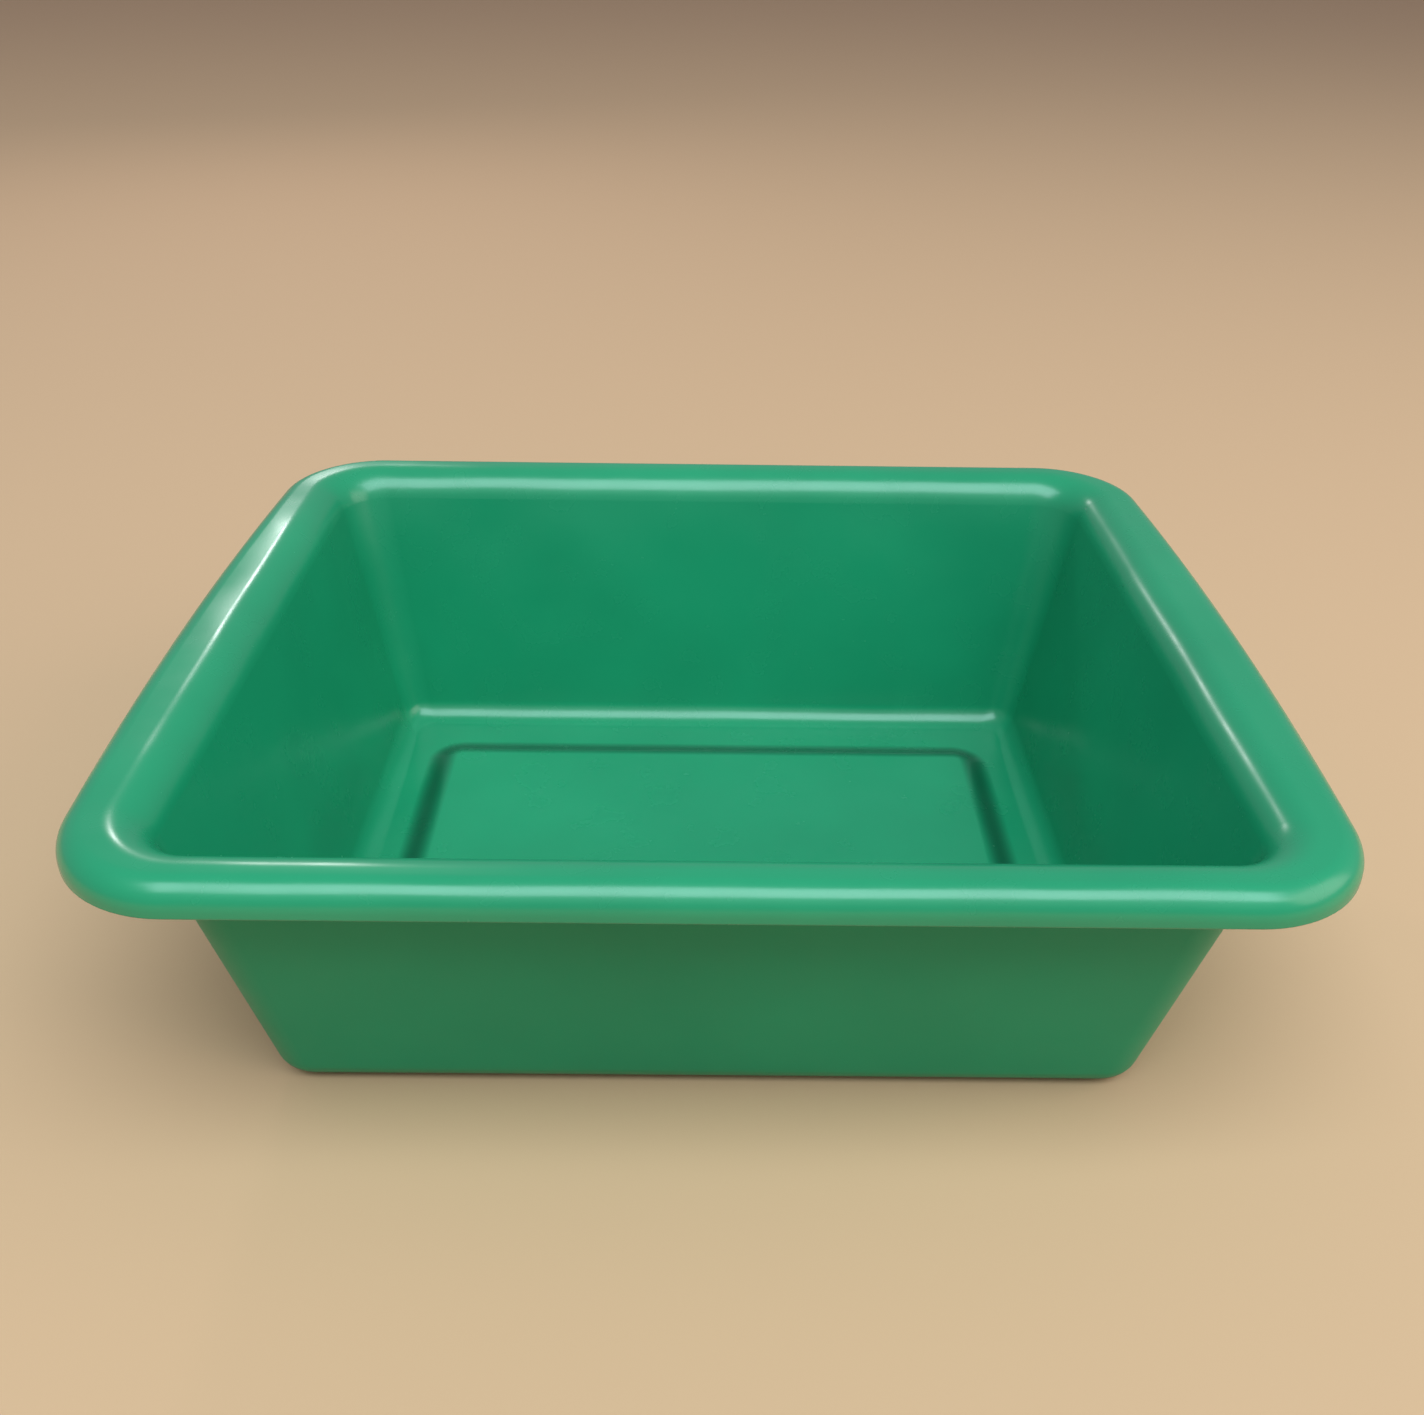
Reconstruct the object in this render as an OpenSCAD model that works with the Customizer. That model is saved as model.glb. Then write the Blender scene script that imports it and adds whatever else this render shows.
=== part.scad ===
// Rectangular wash pan for gold panning: one green plastic moulding.
// Millimetres. +X runs along the long side, +Y away from the front, +Z up.
// The origin is on the ground, in the middle of the foot.
//
// The real pan is a single moulding. It is drawn here as one skin that is cut
// by zone into nodes, which meet face to face: the raised floor panel, the
// ledge round it that the pan stands on, the leaning walls and their corners,
// and the rolled rim with its grips and corners. Small ribs stiffen the rim, in
// its open channel.
//
// Every zone follows rings. A ring is a rounded rectangle at one height, and
// lofting from ring to ring makes the skin.

/* [Overall] */
// Length over the lip, at the corners
rim_length = 600; // [520:10:680]
// Width over the lip, at the corners
rim_width = 516; // [440:4:600]
// Height from the ground to the top of the rim
pan_height = 186; // [150:2:220]
// Thickness of the moulding
skin = 3; // [2:0.5:4]

/* [Walls] */
// How far the walls lean out from upright, in degrees
lean = 11.3; // [8:0.1:14]
// Radius in plan of the corners between the walls, at the top
basin_corner_r = 26; // [20:1:34]
// Radius in plan of the corners between the walls, at the floor
floor_corner_r = 17; // [16:1:24]

/* [Rim] */
// Width of the rim in plan, from the lip's face to the basin
rim_reach = 39; // [36:1:46]
// Radius where the rim rolls over into the basin
roll_r = 22; // [16:1:22]
// Radius where the rim turns down into the lip
lip_r = 13; // [10:1:13]
// Height of the rim from its top to the lip's lower edge
lip_drop = 17; // [16:1:24]
// Radius in plan of the lip's corners
lip_corner_r = 60; // [50:1:70]
// How far the lip swells out as a grip, halfway along each short side
grip_swell = 10; // [0:1:14]

/* [Floor] */
// Radius of the hollow fillet between the walls and the floor
fillet_r = 16; // [12:0.5:18]
// Length of the raised floor panel, at the foot of its slope
panel_length = 410; // [340:2:412]
// Width of the raised floor panel, at the foot of its slope
panel_width = 300; // [240:2:320]
// How far the panel is raised above the ledge
panel_rise = 4; // [2:0.5:6]
// Run in plan of the slope round the panel
slope_run = 22; // [14:1:24]
// Radius in plan of the corners at the foot of the slope
panel_corner_r = 26; // [26:1:36]

/* [Ribs] */
// Thickness of the ribs under the rim
rib_t = 2.4; // [1.5:0.1:4]
// Distance between the ribs under the long sides
rib_pitch = 165; // [120:5:180]
// Distance between the two ribs that bound each grip
grip_gap = 220; // [160:10:240]

/* [Hidden] */

green = [0.13, 0.55, 0.38];
corner_steps = 8;   // segments in a quarter turn of a ring's corner
end_steps = 10;     // segments along a short side, which the grip bends
side_steps = 4;     // segments along a long side
arc_steps = 7;      // segments in each arc of the section
sink = 0.4;         // how deep a rib is rooted in the skin

// Sides and corners are counted anticlockwise, and corner k comes before side k.
right = 0;
back = 1;
left = 2;
front = 3;

// Inset is measured inwards from the lip's face.
roll_inset = rim_reach - roll_r;              // middle of the roll's arc
wall_top = [roll_inset + roll_r * cos(lean), pan_height - roll_r + roll_r * sin(lean)];
floor_inset = wall_top[0] + (wall_top[1] - skin) * tan(lean);
fillet_z = skin + fillet_r;
fillet_inset = floor_inset - fillet_r * tan(lean) + fillet_r / cos(lean);
lip_edge_r = skin / 2;                        // the lip ends in a half round
lip_low = pan_height - lip_drop;

// ---------------------------------------------------------------- rings

// Corner radius of a ring, from its inset.
function corner_r(inset) = lookup(inset, [
    [0, lip_corner_r],
    [rim_reach, basin_corner_r],
    [floor_inset, floor_corner_r],
    [fillet_inset, floor_corner_r + floor_inset - fillet_inset]]);

// Share of the grip's swell that a ring has, from its inset: all of it at the
// lip and none at the basin.
function reach_share(inset) = max(0, 1 - inset / rim_reach);

// Share of the swell at a point along the short side, from -1 at one corner
// to 1 at the other.
function bulge(along) = 1 - pow(along, 2);

// One straight side without its ends, from p to q.
function between(p, q, steps) = [for (i = [1 : steps - 1]) p + (q - p) * i / steps];

// A quarter turn round centre c, from angle a.
function quarter(c, r, a) =
    [for (i = [0 : corner_steps]) c + r * [cos(a + 90 * i / corner_steps), sin(a + 90 * i / corner_steps)]];

// A rounded rectangle, half hl by half hw, anticlockwise from the front right corner.
function outline(hl, hw, r) = let (
        x = hl - r,
        y = hw - r,
        corners = [quarter([x, -y], r, -90), quarter([x, y], r, 0),
                   quarter([-x, y], r, 90), quarter([-x, -y], r, 180)])
    [for (k = [0 : 3]) each concat(
        corners[k],
        between(corners[k][corner_steps], corners[(k + 1) % 4][0], k % 2 == 0 ? end_steps : side_steps))];

// Where corner k starts in a ring's points.
function corner_start(k) =
    k * (corner_steps + 1) + ceil(k / 2) * (end_steps - 1) + floor(k / 2) * (side_steps - 1);

ring_points = corner_start(4);

// First and last point of corner k, and of the side that follows it.
function corner_span(k) = [corner_start(k), corner_start(k) + corner_steps];
function side_span(k) = [corner_start(k) + corner_steps, corner_start(k + 1)];

// A ring at height z, its short sides swelled out by up to s.
function ring(hl, hw, r, z, s = 0) =
    [for (p = outline(hl, hw, r)) [p[0] * (1 + s / hl * bulge(p[1] / hw)), p[1], z]];

// A ring from a point of the section: [inset, z, out], where out is how far
// the point lies outside the moulding's upper surface.
function section_ring(p) = let (top = p[0] + p[2])
    ring(rim_length / 2 - p[0], rim_width / 2 - p[0], corner_r(top) + p[2], p[1],
         grip_swell * reach_share(top));

function section_rings(section) = [for (p = section) section_ring(p)];

function reversed(v) = [for (i = [len(v) - 1 : -1 : 0]) v[i]];

// ---------------------------------------------------------------- section

// Points of the hollow fillet, grown outwards by t, from the wall down.
function fillet_arc(t) = [for (i = [0 : arc_steps]) let (a = lean + (90 - lean) * i / arc_steps)
    [fillet_inset - (fillet_r + t) * cos(a), fillet_z - (fillet_r + t) * sin(a), t * cos(a)]];

// Points of the roll into the basin, shrunk by t, from the wall up.
function roll_arc(t) = [for (i = [0 : arc_steps]) let (a = lean + (90 - lean) * i / arc_steps)
    [roll_inset + (roll_r - t) * cos(a), pan_height - roll_r + (roll_r - t) * sin(a), t * cos(a)]];

// Points of the turn down into the lip, shrunk by t, from the top outwards.
function lip_arc(t) = [for (i = [0 : arc_steps]) let (a = 90 - 90 * i / arc_steps)
    [lip_r - (lip_r - t) * cos(a), pan_height - lip_r + (lip_r - t) * sin(a), -t * cos(a)]];

// The half round at the lip's lower edge, from its face inwards.
lip_edge = [for (i = [0 : 4]) let (a = 45 * i, inset = lip_edge_r * (1 - cos(a)))
    [inset, lip_low + lip_edge_r * (1 - sin(a)), -inset]];

// Closed sections of the wall, with the fillet at its foot, and of the rim.
// The first and last points face each other through the skin, and so do the
// second and the last but one.
wall_section = concat(
    reversed(fillet_arc(skin)), [roll_arc(skin)[0], roll_arc(0)[0]], fillet_arc(0));
rim_section = concat(
    roll_arc(skin), lip_arc(skin), reversed(lip_edge), reversed(lip_arc(0)), reversed(roll_arc(0)));

// Half length, half width and corner radius of the slope's ring, from s = 0 at
// the raised panel to s = 1 at the ledge.
function slope_size(s) =
    [panel_length / 2, panel_width / 2, panel_corner_r] - slope_run * (1 - s) * [1, 1, 1];

// Rings down the slope, which eases out of the panel and into the ledge,
// lowered by drop.
function slope_rings(drop) = [for (i = [0 : arc_steps]) let (s = i / arc_steps, size = slope_size(s))
    ring(size[0], size[1], size[2], skin + panel_rise * (1 + cos(180 * s)) / 2 - drop)];

// ---------------------------------------------------------------- lofts

// Two triangles for each cell of a grid of points, rows by columns. The rows
// go round a closed section, and the columns round the rings where whole is set.
function grid_faces(rows, columns, whole) =
    [for (k = [0 : rows - 1], i = [0 : columns - (whole ? 1 : 2)]) let (
            row = k * columns,
            next_row = (k + 1) % rows * columns,
            next = (i + 1) % columns)
        each [[row + i, next_row + next, row + next], [row + i, next_row + i, next_row + next]]];

// Triangles across a section's end, like the rungs of a ladder between points
// that face each other through the skin.
function end_faces(rows, columns, i) =
    [for (j = [0 : ceil(rows / 2) - 2]) let (
            a = j * columns + i,
            b = (j + 1) * columns + i,
            c = (rows - 2 - j) * columns + i,
            d = (rows - 1 - j) * columns + i)
        each b == c ? [[a, b, d]] : [[a, b, d], [b, c, d]]];

// A length of the moulding: a closed section swept along part of its rings.
module stretch(section, span) {
    columns = span[1] - span[0] + 1;
    rows = len(section);
    points = [for (r = section_rings(section), i = [span[0] : span[1]]) r[i % ring_points]];
    near_end = [for (f = end_faces(rows, columns, 0)) reversed(f)];
    far_end = end_faces(rows, columns, columns - 1);
    polyhedron(points, concat(grid_faces(rows, columns, false), near_end, far_end), convexity = 10);
}

// A frame: whole rings that follow a closed section.
module hoop(rings) {
    polyhedron([for (r = rings) each r], grid_faces(len(rings), ring_points, true), convexity = 10);
}

// ---------------------------------------------------------------- nodes

// The middle of the floor, raised clear of the ground.
module floor_panel() {
    size = slope_size(0);
    color(green)
        translate([0, 0, panel_rise])
            linear_extrude(skin) polygon(outline(size[0], size[1], size[2]));
}

// The slope down from the panel, and the ledge out to the walls' fillet. The
// pan stands on the ledge.
module floor_ledge() {
    color(green)
        hoop(concat(
            slope_rings(skin),
            section_rings([fillet_arc(skin)[arc_steps], fillet_arc(0)[arc_steps]]),
            reversed(slope_rings(0))));
}

// One leaning wall and the fillet at its foot, without the corners.
module wall(side) {
    color(green) stretch(wall_section, side_span(side));
}

// The four corners between the walls, which widen upwards like cones.
module wall_corners() {
    color(green) for (k = [0 : 3]) stretch(wall_section, corner_span(k));
}

// One side of the rolled rim: a channel, open underneath, that ends in the lip.
module rim(side) {
    color(green) stretch(rim_section, side_span(side));
}

module rim_corners() {
    color(green) for (k = [0 : 3]) stretch(rim_section, corner_span(k));
}

// One rib across the rim's channel, on the line of the lip's face. It is as
// wide as the channel is where the lip swells out by s.
module rib(s = 0) {
    channel = concat(roll_arc(skin - sink), lip_arc(skin - sink));
    rotate([90, 0, 0])
        linear_extrude(rib_t, center = true)
            polygon([for (p = channel) [s * reach_share(p[0] + p[2]) - p[0], p[1]]]);
}

// Ribs at the ends of both grips, and along both long sides.
module rim_ribs() {
    grip_y = grip_gap / 2;
    grip_end_swell = grip_swell * bulge(grip_y / (rim_width / 2));
    color(green)
        for (turn = [0, 180]) rotate(turn) {
            for (y = [-grip_y, grip_y]) translate([rim_length / 2, y, 0]) rib(grip_end_swell);
            for (x = [-1, 0, 1]) translate([x * rib_pitch, -rim_width / 2, 0]) rotate(-90) rib();
        }
}

floor_panel();
floor_ledge();
wall(front);  // front_wall
wall(back);  // back_wall
wall(left);  // left_wall
wall(right);  // right_wall
wall_corners();
rim(front);  // front_rim
rim(back);  // back_rim
rim(left);  // left_grip
rim(right);  // right_grip
rim_corners();
rim_ribs();
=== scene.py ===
# %% [markdown]
# A gold pan of the deep, rectangular kind: one green plastic moulding, as
# glossy as a washing-up bowl. The lesson loads the measured model, models the
# moulding again as one smooth skin, gives it its plastic, and lights it.

# %% Load the measured model
import math

import bmesh
import bpy
from mathutils import Matrix, Vector


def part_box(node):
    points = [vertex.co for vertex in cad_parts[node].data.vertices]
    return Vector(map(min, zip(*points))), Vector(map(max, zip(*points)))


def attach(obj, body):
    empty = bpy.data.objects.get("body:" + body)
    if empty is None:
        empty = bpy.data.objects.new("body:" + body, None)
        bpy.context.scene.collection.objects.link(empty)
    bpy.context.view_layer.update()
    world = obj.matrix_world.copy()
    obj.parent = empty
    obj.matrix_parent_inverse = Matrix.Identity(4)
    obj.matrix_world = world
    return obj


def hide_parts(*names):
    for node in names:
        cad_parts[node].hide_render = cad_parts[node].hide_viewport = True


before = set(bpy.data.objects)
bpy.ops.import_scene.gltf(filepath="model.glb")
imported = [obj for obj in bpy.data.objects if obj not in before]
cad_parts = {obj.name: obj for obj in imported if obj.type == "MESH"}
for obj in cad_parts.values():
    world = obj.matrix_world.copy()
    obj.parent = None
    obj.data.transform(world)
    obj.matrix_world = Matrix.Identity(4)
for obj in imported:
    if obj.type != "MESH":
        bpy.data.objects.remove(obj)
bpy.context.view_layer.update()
print("nodes", sorted(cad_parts))

# %% [markdown]
# The skin is 3 mm thick all over, so it is easiest to model its upper surface
# alone and to give it thickness at the end. That surface hangs between a few
# key lines, each a rounded rectangle lying flat: the lip's lower edge, the top
# of the lip, the mouth of the basin, the edge of the floor, and the lines of
# the slope that lifts the middle of the floor. The measured model gives their
# sizes, and the lean of the walls ties the mouth to the floor.

# %% Sizes, in metres
LIP_HALF = Vector((0.300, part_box("back_rim")[1].y))
RIM_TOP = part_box("rim_corners")[1].z
GRIP_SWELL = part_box("right_grip")[1].x - LIP_HALF.x
PANEL_HALF = Vector(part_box("floor_panel")[1].xy)
PANEL_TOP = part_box("floor_panel")[1].z
SKIN = PANEL_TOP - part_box("floor_panel")[0].z
LEDGE_TOP = SKIN
SLOPE_RUN = 0.022
LIP_DROP = 0.017
LEAN = math.radians(11.3)
LIP_RADIUS = 0.013
ROLL_RADIUS = 0.022
FILLET_RADIUS = 0.016
ROLL_START = 0.017
RIM_REACH = 0.039
LIP_CORNER, BASIN_CORNER, FLOOR_CORNER, PANEL_CORNER = 0.060, 0.026, 0.017, 0.004

mouth_inset = ROLL_START + ROLL_RADIUS * (1 - math.sin(LEAN)) / math.cos(LEAN)
floor_inset = mouth_inset + (RIM_TOP - LEDGE_TOP) * math.tan(LEAN)
mouth_share = mouth_inset / RIM_REACH
mouth_corner = LIP_CORNER + (BASIN_CORNER - LIP_CORNER) * mouth_share
print("mouth is", round(mouth_inset * 1000, 1), "mm in, floor", round(floor_inset * 1000, 1))

# %% [markdown]
# Each key line starts as a plane primitive, sized in edit mode. A bevel on its
# four corner points rounds them, its face is deleted to leave the line, and
# its straight sides are cut into short lengths so that they can bend. The two
# short sides swell out as hand grips: their middle points are pulled outwards
# with proportional editing, whose inverse square falloff is a parabola.

# %% A key line of the moulding
CORNER_STEPS = 20
SIDE_CUTS = 23
END_CUTS = 19
SLOPE_STEPS = 12
LONG_SHARE = 0.9    # a straight side is longer than this share of its whole length


def edit(piece):
    """Opens one piece alone in edit mode, with nothing on it selected."""
    bpy.ops.object.select_all(action="DESELECT")
    piece.select_set(True)
    bpy.context.view_layer.objects.active = piece
    bpy.ops.object.mode_set(mode="EDIT")
    bpy.ops.mesh.select_all(action="DESELECT")
    return bmesh.from_edit_mesh(piece.data)


def select(piece, chosen):
    """Selects the given edges or faces of the piece in edit mode, and no others."""
    bpy.ops.mesh.select_all(action="DESELECT")
    for part in chosen:
        part.select_set(True)
    bmesh.update_edit_mesh(piece.data)


def leave():
    bpy.ops.object.mode_set(mode="OBJECT")


def key_line(name, half, corner, height, swell):
    """A rounded rectangle of bare edges, whose points form a vertex group of its name."""
    bpy.ops.object.select_all(action="DESELECT")
    bpy.ops.mesh.primitive_plane_add(size=2, location=(0, 0, 0))
    line = bpy.context.object
    line.name = name
    edit(line)
    bpy.ops.mesh.select_all(action="SELECT")
    bpy.ops.transform.resize(value=(half.x, half.y, 1))
    bpy.ops.transform.translate(value=(0, 0, height))
    bpy.ops.mesh.bevel(offset=corner, affect="VERTICES", segments=CORNER_STEPS, profile=0.5)
    bpy.ops.mesh.delete(type="ONLY_FACE")
    for axis, cuts in ((0, SIDE_CUTS), (1, END_CUTS)):
        mesh = bmesh.from_edit_mesh(line.data)
        straight = 2 * (half[axis] - corner)
        along = [edge for edge in mesh.edges
                 if abs(edge.verts[0].co[axis] - edge.verts[1].co[axis]) > LONG_SHARE * straight]
        select(line, along)
        bpy.ops.mesh.subdivide(number_cuts=cuts)
    for side in (-1, 1):
        mesh = bmesh.from_edit_mesh(line.data)
        middle = min(mesh.verts, key=lambda v: (v.co.xy - Vector((side * half.x, 0))).length)
        select(line, [middle])
        bpy.ops.transform.translate(
            value=(side * swell, 0, 0), use_proportional_edit=True,
            proportional_edit_falloff="INVERSE_SQUARE", proportional_size=half.y)
    leave()
    group = line.vertex_groups.new(name=name)
    group.add(range(len(line.data.vertices)), 1, "REPLACE")
    return line


key_lines = [
    key_line("lip_edge", LIP_HALF, LIP_CORNER, RIM_TOP - LIP_DROP, GRIP_SWELL),
    key_line("lip_top", LIP_HALF, LIP_CORNER, RIM_TOP, GRIP_SWELL),
    key_line("mouth", LIP_HALF - Vector((mouth_inset, mouth_inset)), mouth_corner, RIM_TOP,
             GRIP_SWELL * (1 - mouth_share)),
    key_line("floor_edge", LIP_HALF - Vector((floor_inset, floor_inset)), FLOOR_CORNER,
             LEDGE_TOP, 0),
]
for step in range(SLOPE_STEPS + 1):
    out = SLOPE_RUN * (1 - step / SLOPE_STEPS)
    rise = (PANEL_TOP - LEDGE_TOP) * (1 - math.cos(math.pi * step / SLOPE_STEPS)) / 2
    key_lines.append(key_line(f"slope_{step}", PANEL_HALF + Vector((out, out)), PANEL_CORNER + out,
                              LEDGE_TOP + rise, 0))
names = [line.name for line in key_lines]
print("key lines of", [len(line.data.vertices) for line in key_lines], "points")

# %% [markdown]
# The lines are joined into one mesh and bridged two by two, which gives the
# moulding with sharp edges. The flat top of the rim and the floor's ledge are
# bridged first, while their lines are still bare, because a bridge between two
# level lines can twist once one of them carries faces. The walls get a few rows
# of faces, and the raised panel is filled in.

# %% Bridge the key lines
WALL_ROWS = 9       # rows of points added down the walls
FULL_SHARE = 0.99   # a point belongs to a key line only with at least this weight

bpy.ops.object.select_all(action="DESELECT")
for line in key_lines:
    line.select_set(True)
bpy.context.view_layer.objects.active = key_lines[0]
bpy.ops.object.join()
moulding = bpy.context.object
moulding.name = "moulding"


def select_lines(piece, *wanted):
    """Selects the points of the named key lines in edit mode.

    New points between two lines belong partly to both, so they are dropped first.
    """
    bpy.ops.mesh.select_all(action="SELECT")
    bpy.ops.object.vertex_group_clean(group_select_mode="ALL", limit=FULL_SHARE)
    bpy.ops.mesh.select_all(action="DESELECT")
    for name in wanted:
        piece.vertex_groups.active = piece.vertex_groups[name]
        bpy.ops.object.vertex_group_select()


edit(moulding)
bpy.ops.mesh.select_mode(type="VERT")
pairs = [
    ("lip_top", "mouth", 0),
    ("floor_edge", "slope_0", 0),
    ("lip_edge", "lip_top", 0),
    ("mouth", "floor_edge", WALL_ROWS),
]
slope = names[names.index("slope_0"):]
pairs += [(low, high, 0) for low, high in zip(slope, slope[1:])]
for outer, inner, cuts in pairs:
    select_lines(moulding, outer, inner)
    bpy.ops.mesh.bridge_edge_loops(number_cuts=cuts, interpolation="LINEAR")
select_lines(moulding, slope[-1])
bpy.ops.mesh.edge_face_add()
bpy.ops.mesh.select_all(action="SELECT")
bpy.ops.mesh.normals_make_consistent(inside=False)
mesh = bmesh.from_edit_mesh(moulding.data)
floor_face = max(mesh.faces, key=lambda face: face.calc_area())
if floor_face.normal.z < 0:
    bpy.ops.mesh.flip_normals()
leave()
print("sharp moulding:", len(moulding.data.polygons), "faces")

# %% [markdown]
# A moulding has no sharp edges, because plastic flows and cools badly round
# them. Bevelling a key line rolls it over. The bevel's offset is the distance
# from the sharp edge to where the round starts, which is the radius times the
# tangent of half the angle that the surface turns through there.

# %% Round the edges
ARC_STEPS = 10


def turn_offset(radius, turn):
    """How far from a sharp edge a round of this radius starts."""
    return radius * math.tan(turn / 2)


wall_turn = math.pi / 2 - LEAN
edit(moulding)
bpy.ops.mesh.select_mode(type="VERT")
for name, offset in (
    ("lip_top", turn_offset(LIP_RADIUS, math.pi / 2)),
    ("mouth", turn_offset(ROLL_RADIUS, wall_turn)),
    ("floor_edge", turn_offset(FILLET_RADIUS, wall_turn)),
):
    select_lines(moulding, name)
    bpy.ops.mesh.bevel(offset=offset, segments=ARC_STEPS, profile=0.5, affect="EDGES",
                       clamp_overlap=False, loop_slide=True)
leave()
print("rounded moulding:", len(moulding.data.polygons), "faces")

# %% [markdown]
# Solidify then adds the 3 mm of plastic behind the surface. Its second
# material slot goes on the outside, which looks duller in the photograph than
# the inside. The lip's cut edge is rounded with one more bevel.

# %% Give the skin its thickness
LEVEL = 0.0002      # faces this close to the lip's lower height are its cut edge
LIP_EDGE_BEVEL = 0.45 * SKIN
EVEN_WEIGHT = 50

solid = moulding.modifiers.new("skin", "SOLIDIFY")
solid.thickness = SKIN
solid.offset = -1
solid.use_even_offset = True
solid.use_quality_normals = True
solid.material_offset = 1
solid.material_offset_rim = 0


def apply_modifiers(piece):
    bpy.ops.object.select_all(action="DESELECT")
    piece.select_set(True)
    bpy.context.view_layer.objects.active = piece
    for modifier in list(piece.modifiers):
        bpy.ops.object.modifier_apply(modifier=modifier.name)


def smooth(piece):
    """Shades the piece smooth, with normals that follow its larger faces."""
    bpy.ops.object.select_all(action="DESELECT")
    piece.select_set(True)
    bpy.context.view_layer.objects.active = piece
    bpy.ops.object.shade_smooth()
    even = piece.modifiers.new("even", "WEIGHTED_NORMAL")
    even.mode = "FACE_AREA"
    even.weight = EVEN_WEIGHT
    apply_modifiers(piece)


moulding.data.materials.append(None)
moulding.data.materials.append(None)
apply_modifiers(moulding)
mesh = edit(moulding)
bpy.ops.mesh.select_mode(type="FACE")
rim_faces = [face for face in mesh.faces
             if face.normal.z < -0.9
             and abs(face.calc_center_median().z - (RIM_TOP - LIP_DROP)) < LEVEL]
select(moulding, rim_faces)
bpy.ops.mesh.region_to_loop()
bpy.ops.mesh.bevel(offset=LIP_EDGE_BEVEL, segments=4, profile=0.5, affect="EDGES",
                   clamp_overlap=False)
leave()
smooth(moulding)
print("moulding:", len(moulding.data.polygons), "faces, lip faces", len(rim_faces))

# %% [markdown]
# The band round the raised panel is darker in the photograph than its slope and
# these lights explain, so that shade is painted into the plastic's colour here,
# darkest halfway up the slope. What darkens it isn't known, so a stain stands
# in for it here, strongest halfway up the slope. Each point of the mesh carries
# its share of the painted shade as an attribute, which the material reads.

# %% Paint shade on the slope
slope_half = PANEL_HALF + Vector((SLOPE_RUN, SLOPE_RUN))
# Painted shade: each point's share of the darkening painted on the slope round the panel.
painted_shade = moulding.data.attributes.new("painted_shade", "FLOAT", "POINT")
for vertex, value in zip(moulding.data.vertices, painted_shade.data):
    share = (vertex.co.z - LEDGE_TOP) / (PANEL_TOP - LEDGE_TOP)
    on_slope = abs(vertex.co.x) < slope_half.x and abs(vertex.co.y) < slope_half.y
    strength = math.sqrt(max(0.0, 1 - (2 * share - 1) ** 2))
    value.value = strength if on_slope and vertex.normal.z > 0 else 0.0
print("stained points:", sum(value.value > 0 for value in painted_shade.data))

# %% [markdown]
# The plastic is coloured right through, so the material is one glossy green
# with slight clouds in it. Its gloss is uneven, and its surface is not quite
# flat, because big mouldings shrink unevenly. A second, much rougher layer of
# shine stands for the fine scuffs that spread a pale haze over the inside.

# %% Green plastic
PAINTED_SHADE_VALUE = 0.34      # brightness that is left where the painted shade is darkest
SCUFF_ROUGHNESS = 0.55
GLOSS_BELOW, GLOSS_ABOVE = 0.03, 0.04
PEEL_HEIGHT = 0.000004

def node(tree, kind, **values):
    """A shader node with its settings and sockets filled in by name."""
    made = tree.nodes.new(kind)
    for key, value in values.items():
        if key in made.inputs:
            made.inputs[key].default_value = value
        else:
            setattr(made, key, value)
    return made


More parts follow.
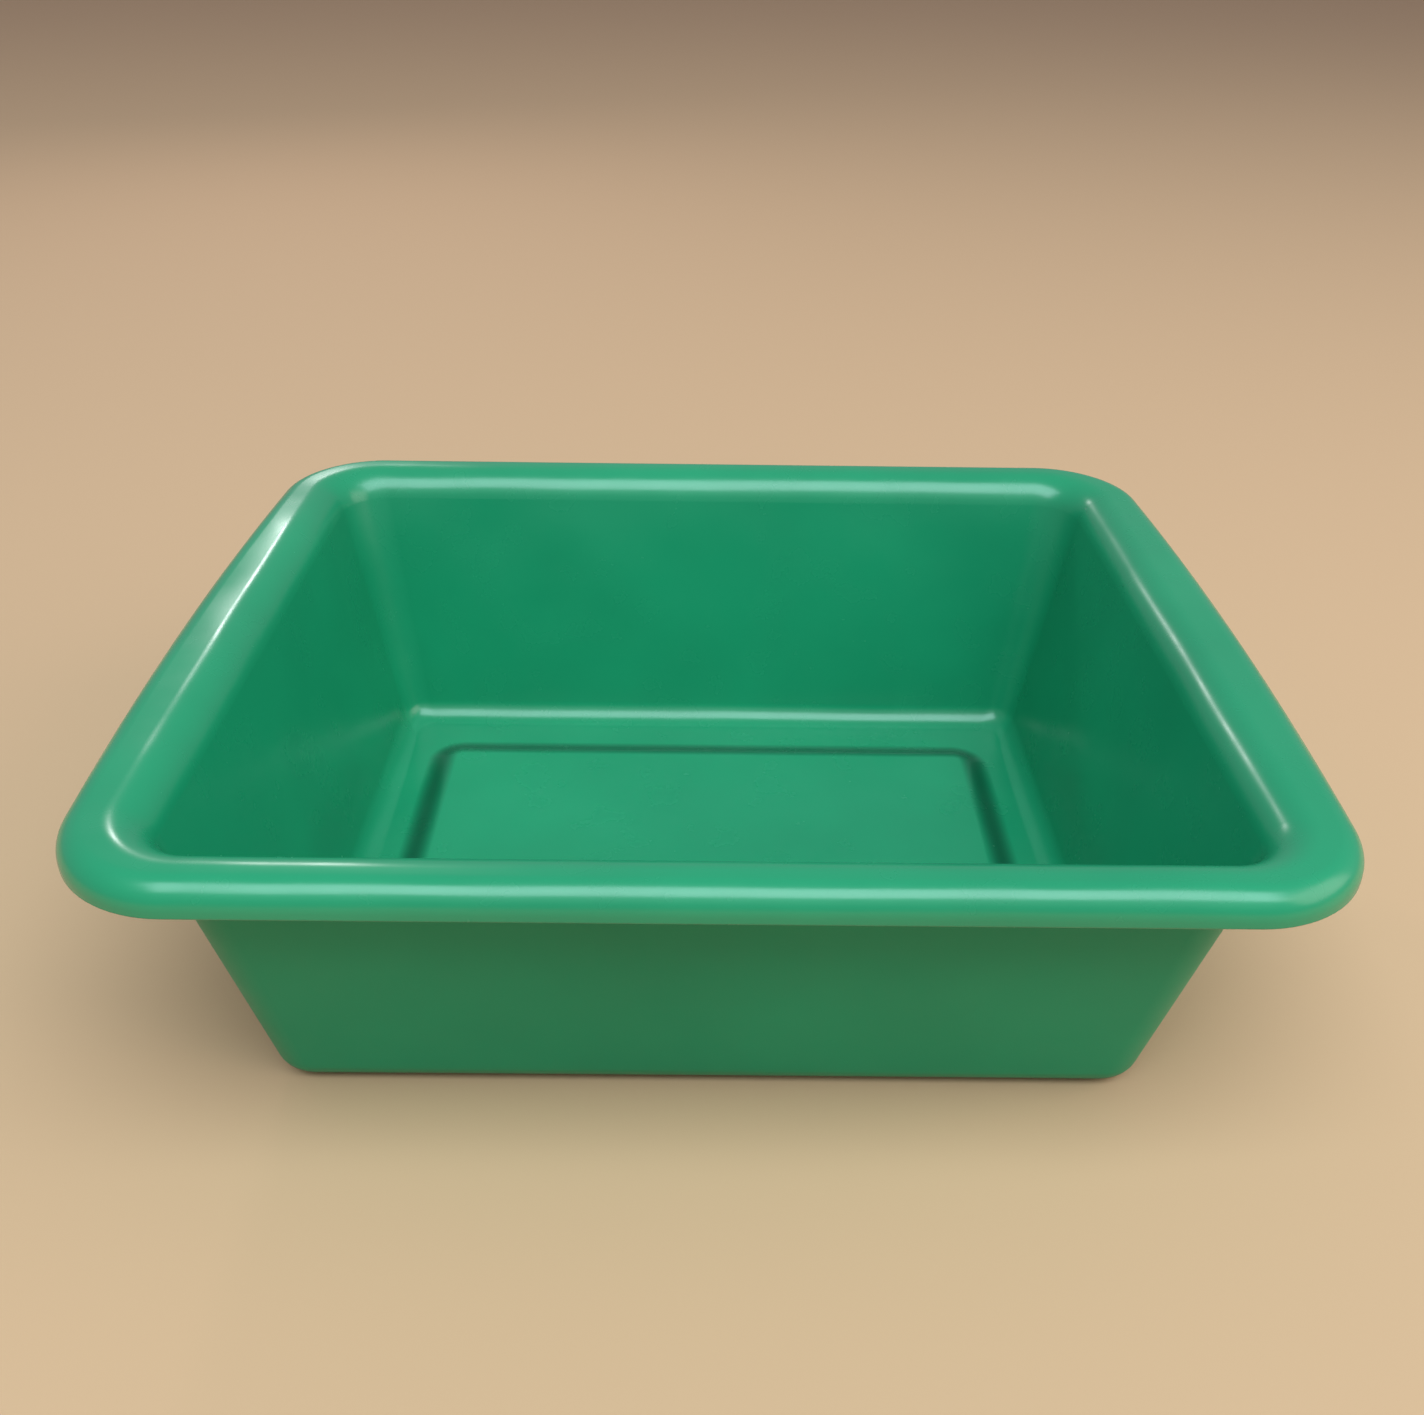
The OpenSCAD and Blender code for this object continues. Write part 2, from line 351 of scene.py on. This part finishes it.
def green_plastic(name, gloss, waviness, shine, scuffs):
    """Gloss is the middle roughness, and waviness the height of the waves in metres."""
    material = bpy.data.materials.new(name)
    material.use_nodes = True
    tree = material.node_tree
    shader = tree.nodes["Principled BSDF"]
    shader.inputs["IOR"].default_value = 1.51
    shader.inputs["Specular IOR Level"].default_value = shine
    shader.inputs["Coat Weight"].default_value = scuffs
    shader.inputs["Coat Roughness"].default_value = SCUFF_ROUGHNESS
    place = node(tree, "ShaderNodeTexCoord").outputs["Object"]

    clouds = node(tree, "ShaderNodeTexNoise", Scale=7.0, Detail=3.0)
    colours = node(tree, "ShaderNodeValToRGB")
    colours.color_ramp.elements[0].position = 0.35
    colours.color_ramp.elements[0].color = (0.006, 0.256, 0.118, 1)
    colours.color_ramp.elements[1].position = 0.65
    colours.color_ramp.elements[1].color = (0.008, 0.286, 0.132, 1)
    tree.links.new(place, clouds.inputs["Vector"])
    tree.links.new(clouds.outputs["Fac"], colours.inputs["Fac"])
    # The painted shade on the slope round the panel darkens the base colour here.
    painted_shade_input = node(tree, "ShaderNodeAttribute", attribute_name="painted_shade")
    darker = node(tree, "ShaderNodeMapRange")
    darker.inputs["To Min"].default_value = 1.0
    darker.inputs["To Max"].default_value = PAINTED_SHADE_VALUE
    tint = node(tree, "ShaderNodeHueSaturation")
    tree.links.new(painted_shade_input.outputs["Fac"], darker.inputs["Value"])
    tree.links.new(darker.outputs["Result"], tint.inputs["Value"])
    tree.links.new(colours.outputs["Color"], tint.inputs["Color"])
    tree.links.new(tint.outputs["Color"], shader.inputs["Base Color"])

    haze = node(tree, "ShaderNodeTexNoise", Scale=35.0, Detail=4.0)
    haze_range = node(tree, "ShaderNodeMapRange")
    haze_range.inputs["From Min"].default_value = 0.3
    haze_range.inputs["From Max"].default_value = 0.7
    haze_range.inputs["To Min"].default_value = gloss - GLOSS_BELOW
    haze_range.inputs["To Max"].default_value = gloss + GLOSS_ABOVE
    tree.links.new(place, haze.inputs["Vector"])
    tree.links.new(haze.outputs["Fac"], haze_range.inputs["Value"])
    tree.links.new(haze_range.outputs["Result"], shader.inputs["Roughness"])

    waves = node(tree, "ShaderNodeTexNoise", Scale=9.0, Detail=1.0)
    wave_bump = node(tree, "ShaderNodeBump", Strength=1.0, Distance=waviness)
    peel = node(tree, "ShaderNodeTexNoise", Scale=600.0, Detail=2.0)
    peel_bump = node(tree, "ShaderNodeBump", Strength=1.0, Distance=PEEL_HEIGHT)
    tree.links.new(place, waves.inputs["Vector"])
    tree.links.new(place, peel.inputs["Vector"])
    tree.links.new(waves.outputs["Fac"], wave_bump.inputs["Height"])
    tree.links.new(peel.outputs["Fac"], peel_bump.inputs["Height"])
    tree.links.new(wave_bump.outputs["Normal"], peel_bump.inputs["Normal"])
    tree.links.new(peel_bump.outputs["Normal"], shader.inputs["Normal"])
    return material


polished = green_plastic("polished_green", gloss=0.25, waviness=0.0050, shine=0.62, scuffs=0.18)
satin = green_plastic("satin_green", gloss=0.40, waviness=0.0006, shine=0.30, scuffs=0.0)
moulding.data.materials[0] = polished
moulding.data.materials[1] = satin

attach(moulding, "root")
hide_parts(*[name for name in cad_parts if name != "rim_ribs"])

# %% [markdown]
# Ten short ribs stiffen the channel under the rim. They start as a copy of the
# measured ones, whose triangles are merged into whole faces before a bevel
# softens their edges.

# %% Ribs under the rim
MERGE_DISTANCE = 0.00001
FLAT_ANGLE = 0.01
RIB_BEVEL = 0.0004

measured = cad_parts["rim_ribs"]
ribs = bpy.data.objects.new("ribs", measured.data.copy())
ribs.data.transform(measured.matrix_world)
bpy.context.scene.collection.objects.link(ribs)
ribs.data.materials.clear()
ribs.data.materials.append(satin)
edit(ribs)
bpy.ops.mesh.select_all(action="SELECT")
bpy.ops.mesh.remove_doubles(threshold=MERGE_DISTANCE)
bpy.ops.mesh.dissolve_limited(angle_limit=FLAT_ANGLE)
leave()
soft = ribs.modifiers.new("soft", "BEVEL")
soft.width = RIB_BEVEL
soft.segments = 2
soft.limit_method = "ANGLE"
soft.angle_limit = math.radians(40)
apply_modifiers(ribs)
smooth(ribs)
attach(ribs, "root")
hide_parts("rim_ribs")
print("ribs:", len(ribs.data.polygons), "faces")

# %% [markdown]
# The set is a wide pale floor. The main light is a broad, soft one above the
# front, whose reflection draws the bright line along the fillet and the rim.
# Two weaker ones fill in from the front and from the right, and a small window
# low behind on the left puts the sharp glints on the rim.

# %% Floor
def plain(name, colour, roughness):
    material = bpy.data.materials.new(name)
    material.use_nodes = True
    shader = material.node_tree.nodes["Principled BSDF"]
    shader.inputs["Base Color"].default_value = (*colour, 1)
    shader.inputs["Roughness"].default_value = roughness
    return material


bpy.ops.object.select_all(action="DESELECT")
bpy.ops.mesh.primitive_plane_add(size=40, location=(0, 0, 0))
floor = bpy.context.object
floor.name = "floor"
floor.data.materials.append(plain("pale_card", (0.68, 0.39, 0.235), 0.8))


# %% Lights
PAN_MIDDLE = Vector((0, 0, 0.1))


def direction(azimuth, elevation):
    """A unit vector: azimuth 0 is the front, and positive turns to the right."""
    a, e = math.radians(azimuth), math.radians(elevation)
    return Vector((math.sin(a) * math.cos(e), -math.cos(a) * math.cos(e), math.sin(e)))


def soft_light(name, azimuth, elevation, distance, size, brightness, colour=(1, 1, 1)):
    """A rectangular light that faces the pan. Brightness is what a mirror would show of it."""
    light = bpy.data.lights.new(name, "AREA")
    light.shape = "RECTANGLE"
    light.size, light.size_y = size
    light.energy = brightness * math.pi * size[0] * size[1]
    light.color = colour
    lamp = bpy.data.objects.new(name, light)
    bpy.context.scene.collection.objects.link(lamp)
    towards = direction(azimuth, elevation)
    lamp.location = PAN_MIDDLE + towards * distance
    lamp.rotation_euler = towards.to_track_quat("Z", "Y").to_euler()


soft_light("skylight", 8, 65, 5.0, (5.6, 3.2), 5.0, (0.68, 0.97, 1.0))
soft_light("front_glow", 5, 48, 5.0, (5.0, 4.5), 0.25, (1.0, 1.0, 1.0))
soft_light("side_glow", 75, 30, 4.0, (3.0, 2.5), 1.8, (1.0, 0.96, 0.86))
soft_light("window", -158, 28, 3.0, (0.12, 0.22), 60.0)

world = bpy.data.worlds.new("room")
world.use_nodes = True
background = world.node_tree.nodes["Background"]
background.inputs["Color"].default_value = (0.88, 0.95, 1.0, 1)
background.inputs["Strength"].default_value = 0.34
bpy.context.scene.world = world

# %% [markdown]
# The camera stands about where the photographer did: above the front edge,
# looking down into the pan. Its place and angle come from matching the rim, the
# floor and the foot of the pan to the picture, to within some ten pixels.

# %% Camera
PITCH, YAW, ROLL = 0.541, 0.009, -0.015     # radians
CAMERA_PLACE = (-0.0058, -0.7284, 0.5624)
SENSOR_WIDTH = 36
FOCAL_PIXELS, PICTURE_WIDTH = 1393.4, 1424
camera_data = bpy.data.cameras.new("camera")
camera_data.sensor_width = SENSOR_WIDTH
camera_data.lens = SENSOR_WIDTH * FOCAL_PIXELS / PICTURE_WIDTH
camera = bpy.data.objects.new("camera", camera_data)
bpy.context.scene.collection.objects.link(camera)
camera.matrix_world = (
    Matrix.Translation(CAMERA_PLACE)
    @ Matrix.Rotation(-YAW, 4, "Z")
    @ Matrix.Rotation(math.pi / 2 - PITCH, 4, "X")
    @ Matrix.Rotation(-ROLL, 4, "Z"))
bpy.context.scene.camera = camera
bpy.context.scene.view_settings.view_transform = "Standard"
